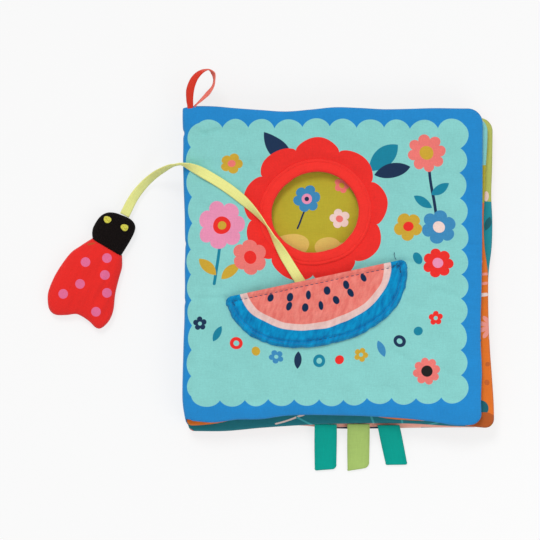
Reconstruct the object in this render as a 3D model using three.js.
import * as THREE from "three";

// A padded cloth book, closed on a table, with a stuffed bug on a ribbon lying beside it.
// Millimetres: +X runs from the spine to the fore-edge, +Y to the head of the pages, +Z up.
// The origin is on the flat underside of the back cover, below the middle of the closed book.

// Cloths and clearances
const cloth = 0.6; // one layer of printed cloth
const pile = 1.2; // plush of the pocket
const film = 0.3; // crackling film inside a leaf
const tape = 0.5; // ribbon of the tether, the loop and the tags
const gap = 0.3; // between faces that touch

// Spine, at the left of the closed book
const spineX = -90;
const spineBow = 0.4; // how far its middle bulges outwards
const spineFloor = 0.8; // lower edge of the spine cloth above the table
const spineSetback = 0.1; // its inner face from the covers' line of turning
const spineSteps = 4;
const coverSetback = 1.2; // edge of the front cover from its line of turning
const leafSetback = 0.9; // edges of the leaves, which turn about lines just inside them

// Padding of a leaf: flat in the middle, rolled down to a thin seam at the edges
const rollWidth = 14;
const rollInsetShares = [0, 0.2, 0.45, 1];
const rollRiseShares = [0, 0, 0.7, 1];
const spineRollShare = 1.8; // the roll is this much wider along the spine
const drawFadeShare = 0.7; // how much of the wavy edge is gone at the end of the roll
const cornerSteps = 3;

// Leaves from the table up; reach is measured from the spine, head and foot from the origin
const backCover = {
  thickness: 5.2, start: 0.2,
  reachAtHead: 180.5, reachAtFoot: 182.5, headAtSpine: 94, headAtFore: 92.5, footAtSpine: 97, footAtFore: 97,
  spineCorner: 2.5, foreCorner: 8, headDraw: 1.5, footDraw: 1.5, foreDraw: 1, spineDraw: 0.2,
};
const leafTwo = {
  thickness: 5, start: leafSetback,
  reachAtHead: 183.5, reachAtFoot: 181.5, headAtSpine: 93.5, headAtFore: 91.5, footAtSpine: 97.8, footAtFore: 96.5,
  spineCorner: 2.5, foreCorner: 8, headDraw: 1.5, footDraw: 3, foreDraw: 1.6, spineDraw: 0.2,
};
const leafOne = {
  thickness: 5, start: leafSetback,
  reachAtHead: 181.5, reachAtFoot: 185.5, headAtSpine: 94.5, headAtFore: 92, footAtSpine: 95.5, footAtFore: 97.2,
  spineCorner: 2.5, foreCorner: 7, headDraw: 1.5, footDraw: 3.4, foreDraw: 2, spineDraw: 0.2,
};
const frontCover = {
  thickness: 5.9, start: coverSetback,
  reachAtHead: 178.8, reachAtFoot: 178.2, headAtSpine: 96.6, headAtFore: 95.2, footAtSpine: 92.4, footAtFore: 94.5,
  spineCorner: 2.2, foreCorner: 9, headDraw: 3, footDraw: 5.2, foreDraw: 1.2, spineDraw: 0.2,
};
const headDrawShares = [0.15, 0.33, 0.15, 1, 0.2]; // from the fore-edge to the spine
const footDrawShares = [0.3, 0.9, 1, 0.95, 0.35]; // from the spine to the fore-edge
const foreDrawShares = [0.7, 1, 0.4]; // from the foot to the head
const spineDrawShares = [0.4, 1, 0.5]; // from the head to the foot

// Peek window through the front cover, with a cloth facing turned through it
const windowFromSpine = 78;
const windowFromFoot = 127.5; // from the foot of the cover at the fore-edge
const windowWidth = 52.8;
const windowHeight = 48.9;
const windowFlatShare = 0.06; // how much its upper left is flattened
const windowFlatTurn = THREE.MathUtils.degToRad(135);
const windowFlatPower = 3;
const facingWidth = 6.3;
const windowDip = 10; // the padding is back at full height this far out
const windowRiseShares = [0.5, 0.42, 1]; // height at the hole, at the facing's stitching and past the dip

// Half-round pocket on the front cover, open along its straight upper edge
const pocketFromSpine = 77.1; // middle of the mouth
const pocketFromFoot = 87.3;
const pocketTilt = THREE.MathUtils.degToRad(10.9);
const pocketWidth = 108;
const pocketDepth = 40.3;
const pocketGape = 4.5; // clear height under the middle of the mouth
const pocketPower = 2.1; // roundness of the outline
const domePower = 3; // how late the pocket comes down to its seam
const pocketRays = 16;
const pocketRingShares = [0.25, 0.5, 0.78, 1];

// Hanging loop in the head seam, beside the spine
const loopFromSpine = 3.2;
const loopLength = 22;
const loopReach = 14.6;
const loopWidth = 6;
const loopSteps = 2;
const loopPlyOffset = 0.4; // each foot from the middle of the seam
const loopRise = 2;
const loopAcrossShares = [0, 0, -0.02, 0, 0.16, 0.52, 0.88, 1, 0.86, 0.53, 0.22, 0.08, 0.08];
const loopAlongShares = [0, 0.08, 0.24, 0.48, 0.76, 1, 0.93, 0.7, 0.45, 0.22, 0.12, 0.07, 0];
const loopHeightShares = [0, 0.05, 0.15, 0.35, 0.6, 0.5, 0.1, -0.5, -0.9, -0.9, -0.5, -0.1, 0];
const loopLeans = [0, 4, 14, 35, 62, 82, 90, 100, 121, 144, 164, 177, 180];

// Ribbon tags in the foot seam of the second leaf
const tagWidth = 13.4;
const tagLength = 28;
const tagFromSpine = 84.6; // middle of the first tag
const limeTagGap = 5.8; // from the first tag to the second
const slantedTagGap = 5.3; // from the second tag to the third
const tagShortening = 3.6; // the slanted third tag hangs shorter
const tagSlant = THREE.MathUtils.degToRad(12);
const tagFloor = 0.3; // the tags hang to just above the table
const tagDropShares = [0, 0.1, 0.32, 0.58, 0.8, 0.93, 1];
const tagRunShares = [0, 0.1, 0.25, 0.42, 0.6, 0.8, 1];

// Stuffed bug lying flat beside the spine
const neckFromSpine = 47.4;
const neckFromOrigin = 12;
const bugTilt = THREE.MathUtils.degToRad(24);
const neckSlope = THREE.MathUtils.degToRad(6.7);
const bodyWidth = 41;
const bodyLength = 50;
const bodyThickness = 9.4;
const headWidth = 23.8;
const headLength = 21.4;
const headThickness = 9.2;
const bugCut = 0.5; // how deep the table cuts the stuffed shape flat
const edgeSamples = 20;
const neckSamples = 3;
const bugRingShares = [1, 0.88, 0.62, 0.3];
const bugRiseShares = [0, 0.5, 0.9, 1];
const bodyAcrossShares = [-0.25, -0.37, -0.465, -0.53, -0.53, -0.48, -0.4, -0.29, -0.14, 0, 0.19, 0.33, 0.41, 0.468,
  0.46, 0.39, 0.345, 0.32, 0.25];
const bodyAlongShares = [-0.01, 0.12, 0.26, 0.53, 0.76, 0.885, 0.975, 1, 0.95, 0.888, 0.905, 0.945, 0.92, 0.8,
  0.66, 0.476, 0.28, 0.146, 0.04];
const headAcrossShares = [-0.42, -0.5, -0.53, -0.49, -0.38, -0.2, 0.05, 0.26, 0.4, 0.47, 0.47, 0.41];
const headAlongShares = [-0.045, -0.2, -0.38, -0.68, -0.87, -0.97, -1, -0.99, -0.91, -0.76, -0.45, 0.06];
const eyeRadius = 2.5;
const eyeThickness = 0.5;
const eyeTopShare = 0.8;
const eyeSteps = 12;
const eyeAlong = 15.3;
const leftEyeAcross = -6.2;
const rightEyeAcross = 5.2;

// Tether ribbon: route points and how far it leans from lying flat, in degrees
const tetherWidth = 6;
const tetherSteps = 4; // sections between two points
const tetherRoute = [
  [-15.6, -17.0, 22.6], [-17.8, -13.4, 22.6], [-20.4, -9.4, 22.65], [-23.6, -4.4, 23.0], [-29.6, 5.4, 23.6],
  [-33.8, 12.6, 24.6], [-37.4, 18.6, 25.6], [-41.2, 25.0, 25.8], [-48.0, 33.2, 25.2], [-56.4, 41.2, 23.9],
  [-66.2, 48.6, 23.2], [-77.6, 55.4, 22.9], [-84.6, 58.7, 22.6], [-90.2, 60.7, 22.3], [-94.6, 61.5, 19.6],
  [-98.8, 61.0, 16.2], [-103.6, 59.0, 12.0], [-109.4, 55.0, 7.6], [-115.6, 49.4, 5.0], [-121.6, 41.6, 4.6],
  [-127.0, 31.2, 4.7],
];
const tetherLeans = [0, 0, 0, 6, 18, 45, 72, 84, 58, 22, 4, 0, 6, 32, 62, 62, 44, 22, 6, 0, 0];

// Heights of the stack
const up = 1;
const down = -1;
stackLeaves([backCover, leafTwo, leafOne, frontCover]);

function stackLeaves(leaves) {
  let floor = 0;
  for (const leaf of leaves) {
    leaf.middle = floor + leaf.thickness / 2;
    floor += leaf.thickness + gap;
  }
}

// Closed body through a list of closed rings; without a hole its first and last ring are capped
function loft(rings, holed = false) {
  const count = rings[0].length;
  const points = rings.flat().map((point) => point.clone());
  const faces = [];
  const bands = holed ? rings.length : rings.length - 1;
  for (let band = 0; band < bands; band += 1) {
    const near = band * count;
    const far = ((band + 1) % rings.length) * count;
    for (let index = 0; index < count; index += 1) {
      const next = (index + 1) % count;
      faces.push([near + index, near + next, far + next], [near + index, far + next, far + index]);
    }
  }
  if (!holed) {
    capRing(points, faces, 0, count, false);
    capRing(points, faces, (rings.length - 1) * count, count, true);
  }
  return closedGeometry(points, faces);
}

// Fan from the middle of a ring
function capRing(points, faces, first, count, last) {
  const middle = new THREE.Vector3();
  for (let index = 0; index < count; index += 1) middle.add(points[first + index]);
  points.push(middle.divideScalar(count));
  for (let index = 0; index < count; index += 1) {
    const here = first + index;
    const next = first + ((index + 1) % count);
    faces.push(last ? [here, next, points.length - 1] : [next, here, points.length - 1]);
  }
}

// Indexed geometry with its faces turned outwards
function closedGeometry(points, faces) {
  let volume = 0;
  for (const [a, b, c] of faces) {
    volume += points[a].dot(points[b].clone().cross(points[c]));
  }
  const turned = volume < 0 ? faces.map(([a, b, c]) => [a, c, b]) : faces;
  const geometry = new THREE.BufferGeometry();
  geometry.setAttribute("position", new THREE.Float32BufferAttribute(points.flatMap((p) => p.toArray()), 3));
  geometry.setIndex(turned.flat());
  geometry.computeVertexNormals();
  return geometry;
}

// Outline of a leaf, moved inwards by an inset
function leafOutline(leaf, inset, drawShare) {
  const left = spineX + leaf.start + inset * spineRollShare;
  const rightFoot = spineX + leaf.reachAtFoot - inset;
  const rightHead = spineX + leaf.reachAtHead - inset;
  const foreRadius = Math.max(leaf.foreCorner - inset, leaf.foreCorner / 2);
  const foreHead = new THREE.Vector2(rightHead - foreRadius, leaf.headAtFore - inset - foreRadius);
  const foreFoot = new THREE.Vector2(rightFoot - foreRadius, inset + foreRadius - leaf.footAtFore);
  const spineHead = new THREE.Vector2(left + leaf.spineCorner, leaf.headAtSpine - inset - leaf.spineCorner);
  const spineFoot = new THREE.Vector2(left + leaf.spineCorner, inset + leaf.spineCorner - leaf.footAtSpine);
  const corners = [
    cornerArc(foreFoot, foreRadius, 3), cornerArc(foreHead, foreRadius, 0),
    cornerArc(spineHead, leaf.spineCorner, 1), cornerArc(spineFoot, leaf.spineCorner, 2),
  ];
  const sides = [
    { draw: leaf.foreDraw, shares: foreDrawShares, inward: new THREE.Vector2(-1, 0) },
    { draw: leaf.headDraw, shares: headDrawShares, inward: new THREE.Vector2(0, -1) },
    { draw: leaf.spineDraw, shares: spineDrawShares, inward: new THREE.Vector2(1, 0) },
    { draw: leaf.footDraw, shares: footDrawShares, inward: new THREE.Vector2(0, 1) },
  ];
  return corners.flatMap((corner, index) => {
    const next = corners[(index + 1) % corners.length];
    return [...corner, ...sideRun(corner[cornerSteps], next[0], sides[index], drawShare)];
  });
}

function cornerArc(centre, radius, quarters) {
  const points = [];
  for (let step = 0; step <= cornerSteps; step += 1) {
    const angle = (quarters + step / cornerSteps) * Math.PI / 2;
    points.push(new THREE.Vector2(radius, 0).rotateAround(new THREE.Vector2(), angle).add(centre));
  }
  return points;
}

// Points along a drawn-in side, between two corners
function sideRun(from, to, side, drawShare) {
  return side.shares.map((share, index) => {
    const along = (index + 1) / (side.shares.length + 1);
    return from.clone().lerp(to, along).addScaledVector(side.inward, side.draw * share * drawShare);
  });
}

// Distance from a leaf's middle to its outer face
function faceHeight(leaf, riseShare) {
  const seam = cloth + gap / 2;
  return seam + (leaf.thickness / 2 - seam) * riseShare;
}

// Rings of one face from its rim inwards, sunk below the outer face by a depth
function faceRings(leaf, side, depth, firstRing) {
  const rings = [];
  for (let ring = firstRing; ring < rollInsetShares.length; ring += 1) {
    const drawShare = 1 - drawFadeShare * rollInsetShares[ring];
    const outline = leafOutline(leaf, rollWidth * rollInsetShares[ring], drawShare);
    const height = leaf.middle + side * (faceHeight(leaf, rollRiseShares[ring]) - depth);
    rings.push(outline.map((point) => new THREE.Vector3(point.x, point.y, height)));
  }
  if (leaf === frontCover) rings.push(...windowRings(side, depth));
  return rings;
}

// Rings around the peek window, from the end of its dip to the hole
function windowRings(side, depth) {
  const offsets = [cloth + gap, facingWidth, windowDip];
  return offsets.map((offset, index) => {
    const height = frontCover.middle + side * (faceHeight(frontCover, windowRiseShares[index]) - depth);
    return windowOutline(offset).map((point) => new THREE.Vector3(point.x, point.y, height));
  }).reverse();
}

// Outline of the window, moved outwards by an offset, one point to each point of a leaf's outline
function windowOutline(offset) {
  const count = leafOutline(frontCover, rollWidth, 1).length;
  const centre = new THREE.Vector2(spineX + windowFromSpine, windowFromFoot - frontCover.footAtFore);
  const corner = leafOutline(frontCover, rollWidth, 1)[0].clone().sub(centre);
  const points = [];
  for (let index = 0; index < count; index += 1) {
    const angle = corner.angle() + (index / count) * Math.PI * 2;
    const upperLeft = Math.max(0, Math.cos(angle - windowFlatTurn)) ** windowFlatPower;
    const flat = 1 - windowFlatShare * upperLeft;
    const across = (windowWidth / 2 * flat + offset) * Math.cos(angle);
    const along = (windowHeight / 2 * flat + offset) * Math.sin(angle);
    points.push(new THREE.Vector2(across, along).add(centre));
  }
  return points;
}

// One layer of a leaf, between two depths below its outer faces
function layer(leaf, upper, lower, firstRing) {
  const top = faceRings(leaf, upper.side, upper.depth, firstRing).reverse();
  const bottom = faceRings(leaf, lower.side, lower.depth, firstRing);
  return loft([...top, ...bottom], leaf === frontCover);
}

function panel(leaf, side) {
  return layer(leaf, { side, depth: 0 }, { side, depth: cloth }, 0);
}

function batting(leaf, filmRoom) {
  const depth = cloth + gap;
  return layer(leaf, { side: up, depth: depth + filmRoom }, { side: down, depth }, 2);
}

// Flat sheet of film under the upper panel, as wide as the level middle of the leaf
function crinkleFilm(leaf) {
  const outline = leafOutline(leaf, rollWidth, 1 - drawFadeShare);
  const top = leaf.middle + leaf.thickness / 2 - cloth - gap;
  const rings = [top, top - film].map((height) => (
    outline.map((point) => new THREE.Vector3(point.x, point.y, height))
  ));
  return loft(rings);
}

// Facing ring: a flange on the cover and a wall turned down through the window
function windowFacing() {
  const rim = faceHeight(frontCover, windowRiseShares[0]);
  const stitching = faceHeight(frontCover, windowRiseShares[1]);
  const section = [
    [0, -rim], [0, rim + gap + cloth], [facingWidth, stitching + gap + cloth],
    [facingWidth, stitching + gap], [cloth, rim + gap], [cloth, -rim],
  ];
  const rings = section.map(([offset, height]) => (
    windowOutline(offset).map((point) => new THREE.Vector3(point.x, point.y, frontCover.middle + height))
  ));
  return loft(rings, true);
}

// Domed pocket: rays from the middle of the mouth to the sewn outline
function pocketPanel() {
  const upper = pocketFace(pile);
  const lower = pocketFace(0);
  const points = [...upper.points, ...lower.points];
  const shift = upper.points.length;
  const faces = [...upper.faces, ...upper.faces.map((face) => face.map((index) => index + shift).reverse())];
  const rim = upper.rim;
  rim.forEach((index, place) => {
    const next = rim[(place + 1) % rim.length];
    faces.push([index, next, next + shift], [index, next + shift, index + shift]);
  });
  return closedGeometry(points, faces);
}

function pocketFace(raised) {
  const points = [pocketPoint(0, 0, raised)];
  for (const share of pocketRingShares) {
    for (let ray = 0; ray <= pocketRays; ray += 1) {
      points.push(pocketPoint(share, (ray / pocketRays) * Math.PI, raised));
    }
  }
  const perRing = pocketRays + 1;
  const at = (ring, ray) => 1 + ring * perRing + ray;
  const faces = [];
  for (let ray = 0; ray < pocketRays; ray += 1) {
    faces.push([0, at(0, ray + 1), at(0, ray)]);
    for (let ring = 1; ring < pocketRingShares.length; ring += 1) {
      faces.push([at(ring - 1, ray), at(ring - 1, ray + 1), at(ring, ray + 1)]);
      faces.push([at(ring - 1, ray), at(ring, ray + 1), at(ring, ray)]);
    }
  }
  const outer = pocketRingShares.length - 1;
  const rim = [0];
  for (let ring = 0; ring < outer; ring += 1) rim.push(at(ring, 0));
  for (let ray = 0; ray <= pocketRays; ray += 1) rim.push(at(outer, ray));
  for (let ring = outer - 1; ring >= 0; ring -= 1) rim.push(at(ring, pocketRays));
  return { points, faces, rim };
}

// Point of the pocket at a share of the way out and an angle from the mouth's right end
function pocketPoint(share, angle, raised) {
  const across = Math.cos(angle);
  const along = Math.sin(angle);
  const reach = (Math.abs(across) ** pocketPower + Math.abs(along) ** pocketPower) ** (-1 / pocketPower);
  const place = new THREE.Vector2(pocketWidth / 2 * across, -pocketDepth * along).multiplyScalar(share * reach);
  place.rotateAround(new THREE.Vector2(), pocketTilt);
  place.add(new THREE.Vector2(spineX + pocketFromSpine, pocketFromFoot - frontCover.footAtFore));
  const coverTop = frontCover.middle + frontCover.thickness / 2;
  const height = coverTop + gap + pocketGape * (1 - share ** domePower) + raised;
  return new THREE.Vector3(place.x, place.y, height);
}

// Flat ribbon along a curve, leaning about its own length by the given angles
function ribbonAlong(points, leans, width, steps) {
  const curve = new THREE.CatmullRomCurve3(points, false, "centripetal");
  const spans = (points.length - 1) * steps;
  const rings = [];
  for (let section = 0; section <= spans; section += 1) {
    const share = section / spans;
    const centre = curve.getPoint(share);
    const forward = curve.getTangent(share);
    const flat = new THREE.Vector3(forward.y, -forward.x, 0).normalize();
    const rise = flat.clone().cross(forward);
    const place = Math.min(Math.floor(section / steps), leans.length - 2);
    const lean = THREE.MathUtils.lerp(leans[place], leans[place + 1], section / steps - place);
    const angle = THREE.MathUtils.degToRad(lean);
    const across = flat.clone().multiplyScalar(Math.cos(angle)).addScaledVector(rise, Math.sin(angle));
    const normal = across.clone().cross(forward);
    const corners = [[1, 1], [-1, 1], [-1, -1], [1, -1]];
    rings.push(corners.map(([side, face]) => (
      centre.clone().addScaledVector(across, side * width / 2).addScaledVector(normal, face * tape / 2)
    )));
  }
  return loft(rings);
}

function tetherRibbon() {
  const points = tetherRoute.map(([x, y, z]) => new THREE.Vector3(x, y, z));
  return ribbonAlong(points, tetherLeans, tetherWidth, tetherSteps);
}

// Loop with both feet against the head seam, one above the other
function hangLoop() {
  const last = loopAcrossShares.length - 1;
  const points = loopAcrossShares.map((share, index) => {
    const foot = loopPlyOffset * (1 - 2 * index / last);
    return new THREE.Vector3(
      spineX + loopFromSpine + loopReach * share,
      frontCover.headAtSpine + gap + loopLength * loopAlongShares[index],
      frontCover.middle + foot + loopRise * loopHeightShares[index],
    );
  });
  return ribbonAlong(points, loopLeans, loopWidth, loopSteps);
}

// Folded ribbon: an upper and a lower ply from the seam to the fold at the far end
function tag(length) {
  const drop = leafTwo.middle - gap / 2 - tape - tagFloor;
  const hang = (run, level) => tagRunShares.map((share, index) => (
    new THREE.Vector2(run * share, level - drop * tagDropShares[index])
  ));
  const shape = new THREE.Shape([
    ...hang(length, gap / 2 + tape), ...hang(length, -gap / 2 - tape).reverse(),
    ...hang(length - tape, -gap / 2), ...hang(length - tape, gap / 2).reverse(),
  ]);
  const geometry = new THREE.ExtrudeGeometry(shape, { depth: tagWidth, bevelEnabled: false });
  geometry.translate(0, 0, -tagWidth / 2);
  geometry.rotateX(Math.PI / 2);
  geometry.rotateZ(-Math.PI / 2);
  return geometry;
}

// Tag under the foot edge of its leaf, slanting towards the fore-edge as it hangs
function hungTag(name, fromSpine, length, slant, material) {
  const geometry = tag(length);
  geometry.applyMatrix4(new THREE.Matrix4().makeShear(0, 0, -Math.tan(slant), 0, 0, 0));
  const mesh = piece(name, geometry, material);
  const place = spineX + fromSpine;
  const edge = footEdge(leafTwo, place - tagWidth / 2, place + tagWidth / 2);
  mesh.position.set(place, edge - gap, leafTwo.middle);
  return mesh;
}

// Lowest point of a leaf's foot edge between two places
function footEdge(leaf, from, to) {
  const outline = leafOutline(leaf, 0, 1).filter((point) => point.y < 0);
  const heightAt = (x) => {
    const index = outline.findIndex((point, place) => point.x >= x && outline.at(place - 1).x < x);
    const [left, right] = [outline.at(index - 1), outline[index]];
    return THREE.MathUtils.mapLinear(x, left.x, right.x, left.y, right.y);
  };
  const between = outline.filter((point) => point.x > from && point.x < to).map((point) => point.y);
  return Math.min(heightAt(from), heightAt(to), ...between);
}

// Cloth of the spine, standing between the covers
function spineCloth(face) {
  const top = frontCover.middle - cloth - gap / 2 - gap;
  const rings = [];
  for (let step = 0; step <= spineSteps; step += 1) {
    const share = step / spineSteps;
    const height = spineFloor + (top - spineFloor) * share;
    const bow = spineBow * Math.sin(Math.PI * share);
    const near = spineX - face - bow;
    const far = near - cloth;
    const lerp = THREE.MathUtils.lerp;
    const foot = frontCover.spineCorner - lerp(backCover.footAtSpine, frontCover.footAtSpine, share);
    const head = lerp(backCover.headAtSpine, frontCover.headAtSpine, share) - frontCover.spineCorner;
    const corners = [[near, foot], [near, head], [far, head], [far, foot]];
    rings.push(corners.map(([x, y]) => new THREE.Vector3(x, y, height)));
  }
  return loft(rings);
}

// Outline of a stuffed piece: a curved free edge closed by the straight neck seam
function stuffedOutline(acrossShares, alongShares, width, length, neckSide) {
  const points = acrossShares.map((share, index) => (
    new THREE.Vector3(width * share, -length * alongShares[index], 0)
  ));
  const ends = [0, points.length - 1];
  for (const end of ends) {
    points[end].y = neckSide * gap / 2 - Math.tan(neckSlope) * points[end].x;
  }
  const edge = new THREE.CatmullRomCurve3(points, false, "centripetal").getSpacedPoints(edgeSamples);
  for (let step = 1; step <= neckSamples; step += 1) {
    edge.push(points[ends[1]].clone().lerp(points[0], step / (neckSamples + 1)));
  }
  return edge;
}

const bodyOutline = () => stuffedOutline(bodyAcrossShares, bodyAlongShares, bodyWidth, bodyLength, down);
const headOutline = () => stuffedOutline(headAcrossShares, headAlongShares, headWidth, headLength, up);

// Middle of an outline, from which its rings shrink
function outlineMiddle(outline) {
  return new THREE.Box3().setFromPoints(outline).getCenter(new THREE.Vector3());
}

// Rings of one face of a stuffed piece from its seam inwards; the table cuts the lower one flat
function stuffedRings(outline, thickness, side, depth, firstRing) {
  const middle = outlineMiddle(outline);
  const seam = cloth + gap / 2;
  const reach = thickness / 2 + (side === down ? bugCut : 0);
  const rings = [];
  for (let ring = firstRing; ring < bugRingShares.length; ring += 1) {
    const height = Math.min(seam + (reach - seam) * bugRiseShares[ring], thickness / 2);
    rings.push(outline.map((point) => {
      const place = middle.clone().lerp(point, bugRingShares[ring]);
      return place.setZ(thickness / 2 + side * (height - depth));
    }));
  }
  return rings;
}

function stuffedLayer(outline, thickness, upper, lower, firstRing) {
  const top = stuffedRings(outline, thickness, upper.side, upper.depth, firstRing).reverse();
  const bottom = stuffedRings(outline, thickness, lower.side, lower.depth, firstRing);
  return loft([...top, ...bottom]);
}

function stuffedPanel(outline, thickness, side) {
  return stuffedLayer(outline, thickness, { side, depth: 0 }, { side, depth: cloth }, 0);
}

function stuffedFilling(outline, thickness) {
  const depth = cloth + gap;
  return stuffedLayer(outline, thickness, { side: up, depth }, { side: down, depth }, 1);
}

// Height of the head's upper side over a place, read between the rings of its panel
function headHeight(place) {
  const outline = headOutline();
  const middle = outlineMiddle(outline);
  const from = place.clone().sub(middle);
  const cross = (a, b) => a.x * b.y - a.y * b.x;
  let share = 0;
  outline.forEach((point, index) => {
    const near = point.clone().sub(middle);
    const far = outline[(index + 1) % outline.length].clone().sub(middle);
    const wedge = cross(near, far);
    if (cross(near, from) * wedge < 0 || cross(from, far) * wedge < 0) return;
    const edge = far.clone().sub(near);
    share = cross(from, edge) / cross(near, edge);
  });
  const ring = bugRingShares.findIndex((ringShare) => ringShare < share);
  const between = THREE.MathUtils.inverseLerp(bugRingShares[ring], bugRingShares[ring - 1], share);
  const rise = THREE.MathUtils.lerp(bugRiseShares[ring], bugRiseShares[ring - 1], between);
  const seam = cloth + gap / 2;
  return headThickness / 2 + seam + (headThickness / 2 - seam) * rise;
}

// Stitched eye, seated on the slope of the head
function eye(name, across) {
  const profile = [
    new THREE.Vector2(0, 0), new THREE.Vector2(eyeRadius, 0),
    new THREE.Vector2(eyeRadius * eyeTopShare, eyeThickness), new THREE.Vector2(0, eyeThickness),
  ];
  const mesh = piece(name, new THREE.LatheGeometry(profile, eyeSteps).rotateX(Math.PI / 2), finishes.eyeThread);
  const place = new THREE.Vector3(across, eyeAlong, 0);
  const outwards = place.clone().sub(outlineMiddle(headOutline())).setZ(0).normalize();
  const outer = headHeight(place.clone().addScaledVector(outwards, eyeRadius));
  const inner = headHeight(place.clone().addScaledVector(outwards, -eyeRadius));
  const slope = Math.atan2(inner - outer, eyeRadius * 2);
  const axis = new THREE.Vector3(0, 0, 1).cross(outwards);
  mesh.setRotationFromAxisAngle(axis, slope);
  mesh.position.copy(place).setZ(headHeight(place) + gap / Math.cos(slope));
  return mesh;
}

// Finishes
function finish(color, roughness = 0.9) {
  return new THREE.MeshStandardMaterial({ color, roughness, metalness: 0 });
}

const finishes = {
  coverPrint: finish(0x8dd4cf),
  coverLining: finish(0xf08078),
  facing: finish(0xf03430),
  plush: finish(0xf08078, 1),
  wadding: finish(0xf4f2ec, 1),
  spineWrap: finish(0x2488ce),
  spineLining: finish(0x14a08e),
  leafOneFront: finish(0xaaa02c),
  leafOneBack: finish(0xe06e1e),
  leafTwoFront: finish(0x14808a),
  leafTwoBack: finish(0xf0c8c0),
  backPrint: finish(0x183458),
  backLining: finish(0xf06e9a),
  crinkle: finish(0xe8eef0, 0.3),
  loopRibbon: finish(0xe6422c, 0.6),
  tetherRibbon: finish(0xdede6e, 0.6),
  tealTag: finish(0x14a08e, 0.6),
  limeTag: finish(0xa0c06c, 0.6),
  bugBlack: finish(0x161212),
  bugRed: finish(0xee302a),
  eyeThread: finish(0xd6ce3c, 0.7),
};

function piece(name, geometry, material) {
  const mesh = new THREE.Mesh(geometry, material);
  mesh.name = name;
  return mesh;
}

function backCoverGroup() {
  const group = new THREE.Group();
  group.add(piece("back_cover_outer", panel(backCover, down), finishes.backPrint));
  group.add(piece("back_cover_batting", batting(backCover, 0), finishes.wadding));
  group.add(piece("back_cover_lining", panel(backCover, up), finishes.backLining));
  group.add(piece("spine_lining", spineCloth(spineSetback), finishes.spineLining));
  group.add(piece("spine_outer", spineCloth(spineSetback + cloth + gap), finishes.spineWrap));
  return group;
}

function frontCoverGroup() {
  const group = new THREE.Group();
  group.add(piece("front_cover_outer", panel(frontCover, up), finishes.coverPrint));
  group.add(piece("front_cover_batting", batting(frontCover, 0), finishes.wadding));
  group.add(piece("front_cover_lining", panel(frontCover, down), finishes.coverLining));
  group.add(piece("window_facing", windowFacing(), finishes.facing));
  group.add(piece("pocket_panel", pocketPanel(), finishes.plush));
  group.add(piece("hang_loop", hangLoop(), finishes.loopRibbon));
  group.add(piece("tether_ribbon", tetherRibbon(), finishes.tetherRibbon));
  return group;
}

function leafGroup(name, leaf, front, back) {
  const group = new THREE.Group();
  group.add(piece(`${name}_front_panel`, panel(leaf, up), front));
  group.add(piece(`${name}_crinkle_film`, crinkleFilm(leaf), finishes.crinkle));
  group.add(piece(`${name}_batting`, batting(leaf, film + gap), finishes.wadding));
  group.add(piece(`${name}_back_panel`, panel(leaf, down), back));
  return group;
}

function tagGroup() {
  const group = new THREE.Group();
  const limeFromSpine = tagFromSpine + tagWidth + limeTagGap;
  const slantedFromSpine = limeFromSpine + tagWidth + slantedTagGap;
  const shorter = tagLength - tagShortening;
  group.add(hungTag("tag_teal", tagFromSpine, tagLength, 0, finishes.tealTag));
  group.add(hungTag("tag_lime", limeFromSpine, tagLength, 0, finishes.limeTag));
  group.add(hungTag("tag_teal_slanted", slantedFromSpine, shorter, tagSlant, finishes.tealTag));
  return group;
}

// The bug is drawn with its neck at the origin, its head along +Y and its tail along -Y
function bugGroup() {
  const group = new THREE.Group();
  const bodyEdge = bodyOutline();
  const headEdge = headOutline();
  group.add(piece("bug_body_front", stuffedPanel(bodyEdge, bodyThickness, up), finishes.bugRed));
  group.add(piece("bug_body_filling", stuffedFilling(bodyEdge, bodyThickness), finishes.wadding));
  group.add(piece("bug_body_back", stuffedPanel(bodyEdge, bodyThickness, down), finishes.bugRed));
  group.add(piece("bug_head_front", stuffedPanel(headEdge, headThickness, up), finishes.bugBlack));
  group.add(piece("bug_head_filling", stuffedFilling(headEdge, headThickness), finishes.wadding));
  group.add(piece("bug_head_back", stuffedPanel(headEdge, headThickness, down), finishes.bugBlack));
  group.add(eye("bug_eye_left", leftEyeAcross));
  group.add(eye("bug_eye_right", rightEyeAcross));
  group.position.set(spineX - neckFromSpine, neckFromOrigin, 0);
  group.rotation.z = -bugTilt;
  return group;
}

const book = new THREE.Group();
book.add(backCoverGroup());
book.add(leafGroup("leaf_2", leafTwo, finishes.leafTwoFront, finishes.leafTwoBack));
book.add(tagGroup());
book.add(leafGroup("leaf_1", leafOne, finishes.leafOneFront, finishes.leafOneBack));
book.add(frontCoverGroup());
book.add(bugGroup());

export default book;
